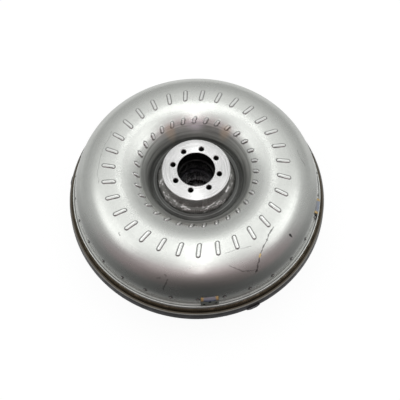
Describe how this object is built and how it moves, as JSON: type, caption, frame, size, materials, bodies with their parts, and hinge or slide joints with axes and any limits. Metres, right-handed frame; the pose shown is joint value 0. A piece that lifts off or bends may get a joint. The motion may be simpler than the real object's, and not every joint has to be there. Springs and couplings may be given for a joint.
{
  "type": "torque converter",
  "caption": "Fluid torque converter: a welded round steel housing with drive lugs and a bolt-on hub, holding an impeller, a turbine and a stator on a one-way roller clutch.",
  "frame": {"origin": "centre of the crankshaft pilot's face, on the shaft axis", "axes": "+Z along the shaft axis from the crankshaft side to the transmission side; +X is the right of the picture, with the first drive lug at 172.8 degrees from +X"},
  "size_m": [0.3609, 0.36, 0.1396],
  "materials": {
    "pressed_steel": "satin pressed sheet",
    "dark_steel": "bare rolled plate, browned by handling",
    "turned_steel": "fine turned",
    "hub_bead": "rough weld bead",
    "seam_bead": "heat-browned weld bead",
    "tinted_steel": "heat-tinted",
    "blade_steel": "satin",
    "hardened_steel": "ground",
    "spring_steel": "blued",
    "phosphated_steel": "dark phosphate",
    "cast_aluminium": "as cast",
    "bronze": "machined"
  },
  "bodies": {
    "housing": {"front_cover": "dark_steel", "pilot_boss": "turned_steel", "impeller_shell": "pressed_steel", "impeller_blades": "blade_steel", "impeller_hub": "turned_steel", "hub_weld": "hub_bead", "seam_weld": "seam_bead", "drive_lug_1": "dark_steel", "drive_lug_2": "dark_steel", "drive_lug_3": "dark_steel", "balance_weight_1": "tinted_steel", "balance_weight_2": "tinted_steel", "front_thrust_washer": "bronze", "rear_bearing_upper_race": "hardened_steel"},
    "turbine": {"turbine_shell": "pressed_steel", "turbine_blades": "blade_steel", "turbine_hub": "turned_steel", "turbine_rivet_1": "blade_steel", "turbine_rivet_2": "blade_steel", "turbine_rivet_3": "blade_steel", "turbine_rivet_4": "blade_steel", "turbine_rivet_5": "blade_steel", "turbine_rivet_6": "blade_steel", "front_bearing_lower_race": "hardened_steel"},
    "stator": {"stator_wheel": "cast_aluminium", "stator_snap_ring": "spring_steel", "clutch_outer_race": "hardened_steel", "clutch_front_plate": "phosphated_steel", "clutch_rear_plate": "phosphated_steel", "clutch_roller_1": "hardened_steel", "clutch_roller_2": "hardened_steel", "clutch_roller_3": "hardened_steel", "clutch_roller_4": "hardened_steel", "clutch_roller_5": "hardened_steel", "clutch_roller_6": "hardened_steel", "clutch_roller_7": "hardened_steel", "clutch_roller_8": "hardened_steel", "clutch_spring_1": "spring_steel", "clutch_spring_2": "spring_steel", "clutch_spring_3": "spring_steel", "clutch_spring_4": "spring_steel", "clutch_spring_5": "spring_steel", "clutch_spring_6": "spring_steel", "clutch_spring_7": "spring_steel", "clutch_spring_8": "spring_steel", "front_bearing_upper_race": "hardened_steel", "rear_bearing_lower_race": "hardened_steel"},
    "inner_race": {"clutch_inner_race": "hardened_steel"},
    "front_cage": {"front_bearing_cage": "bronze"},
    "rear_cage": {"rear_bearing_cage": "bronze"}
  },
  "joints": [
    {"name": "turbine_spin", "type": "hinge", "parent": "housing", "child": "turbine", "pos_m": [0, 0, 0.0542], "axis": [0, 0, 1], "continuous": true},
    {"name": "stator_spin", "type": "hinge", "parent": "housing", "child": "stator", "pos_m": [0, 0, 0.0752], "axis": [0, 0, 1], "continuous": true},
    {"name": "inner_race_freewheel", "type": "hinge", "parent": "stator", "child": "inner_race", "pos_m": [0, 0, 0.0752], "axis": [0, 0, 1], "continuous": true},
    {"name": "front_cage_spin", "type": "hinge", "parent": "housing", "child": "front_cage", "pos_m": [0, 0, 0.0542], "axis": [0, 0, 1], "continuous": true},
    {"name": "rear_cage_spin", "type": "hinge", "parent": "housing", "child": "rear_cage", "pos_m": [0, 0, 0.0962], "axis": [0, 0, 1], "continuous": true}
  ],
  "couplings": [
    {"joint": "front_cage_spin", "follows": "turbine_spin", "ratio": 0.5},
    {"joint": "rear_cage_spin", "follows": "stator_spin", "ratio": 0.5}
  ]
}
